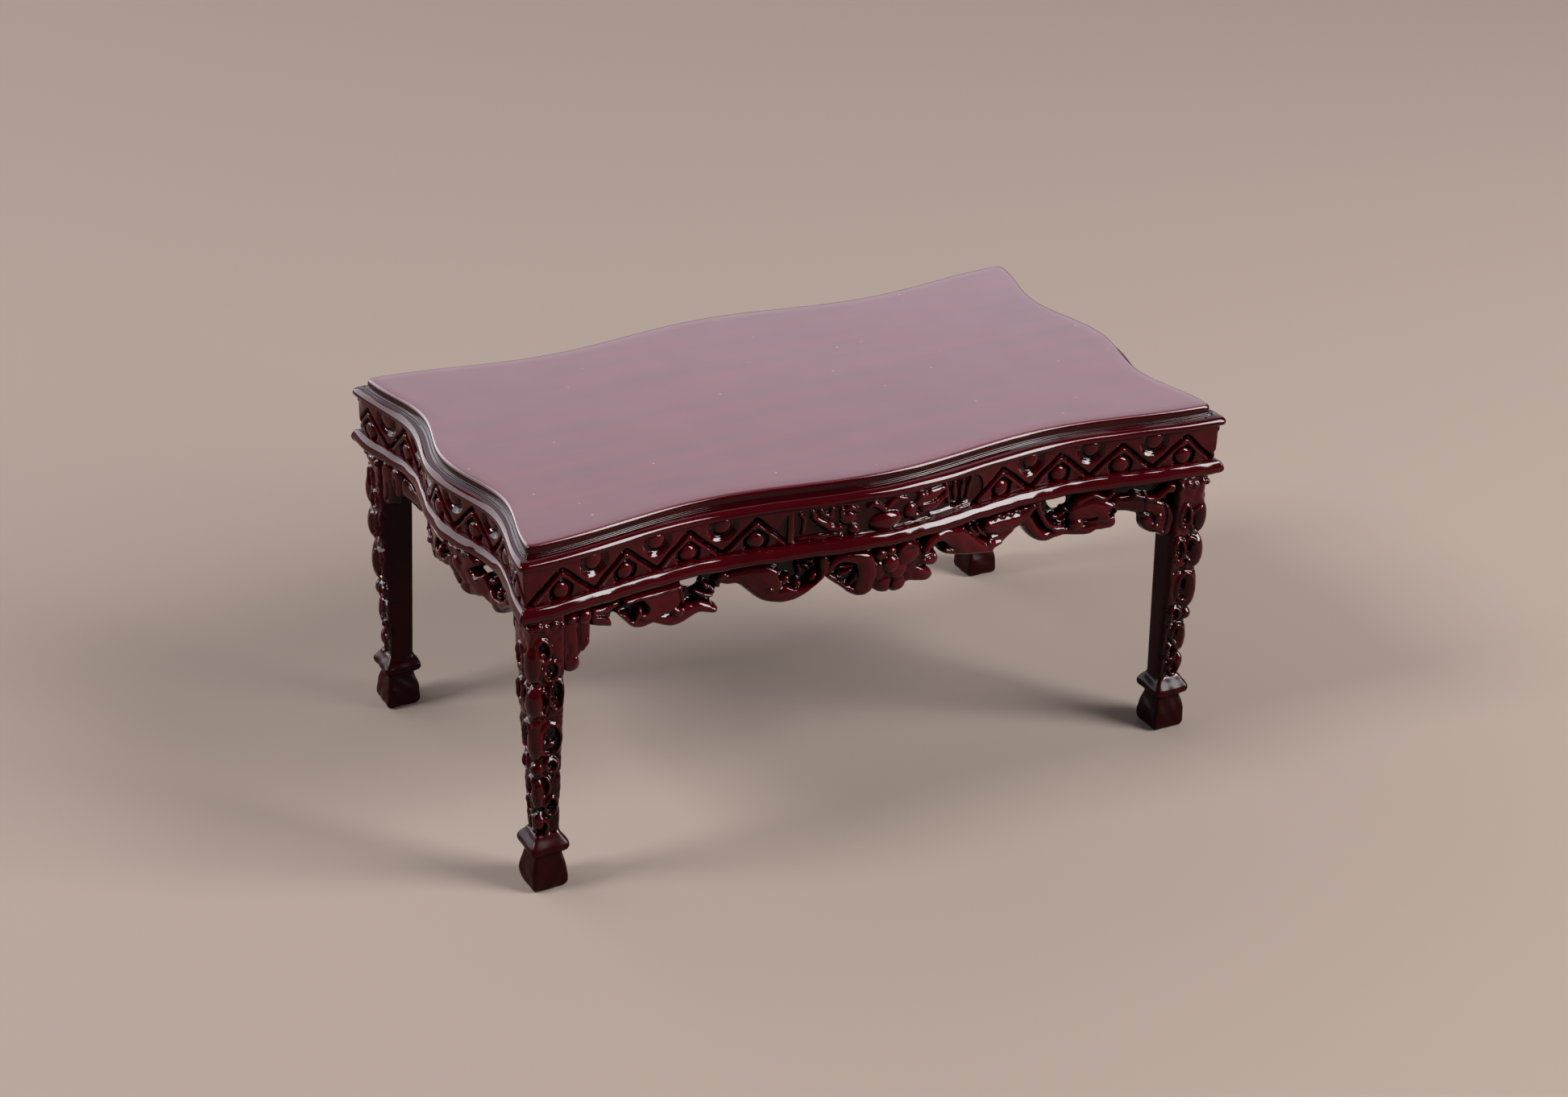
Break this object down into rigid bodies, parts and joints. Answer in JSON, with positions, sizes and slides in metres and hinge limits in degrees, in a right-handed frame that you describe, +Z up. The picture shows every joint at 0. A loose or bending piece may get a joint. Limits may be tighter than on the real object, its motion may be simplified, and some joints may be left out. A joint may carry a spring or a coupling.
{
  "type": "miniature dining table",
  "caption": "Dolls' house table in dark red lacquer: serpentine top, carved frieze and pierced skirts, square tapered legs with collared feet.",
  "frame": {"origin": "on the floor under the middle of the table", "axes": "+Z up, +X along the long sides, -Y towards the front long side"},
  "size_m": [0.0792, 0.0444, 0.0381],
  "materials": {
    "top_lacquer": "satin lacquer over fine-grained red wood",
    "moulding_lacquer": "gloss lacquer on moulded edges",
    "carved_lacquer": "high gloss red-brown lacquer, pooled dark in the carving"
  },
  "bodies": {
    "root": {"table_top": "top_lacquer", "frieze_front": "carved_lacquer", "bead_front": "moulding_lacquer", "skirt_front": "carved_lacquer", "frieze_right": "carved_lacquer", "bead_right": "moulding_lacquer", "skirt_right": "carved_lacquer", "frieze_back": "carved_lacquer", "bead_back": "moulding_lacquer", "skirt_back": "carved_lacquer", "frieze_left": "carved_lacquer", "bead_left": "moulding_lacquer", "skirt_left": "carved_lacquer", "leg_front_left": "carved_lacquer", "bracket_front_left_long": "carved_lacquer", "bracket_front_left_short": "carved_lacquer", "leg_front_right": "carved_lacquer", "bracket_front_right_long": "carved_lacquer", "bracket_front_right_short": "carved_lacquer", "leg_back_left": "carved_lacquer", "bracket_back_left_long": "carved_lacquer", "bracket_back_left_short": "carved_lacquer", "leg_back_right": "carved_lacquer", "bracket_back_right_long": "carved_lacquer", "bracket_back_right_short": "carved_lacquer"}
  },
  "joints": []
}
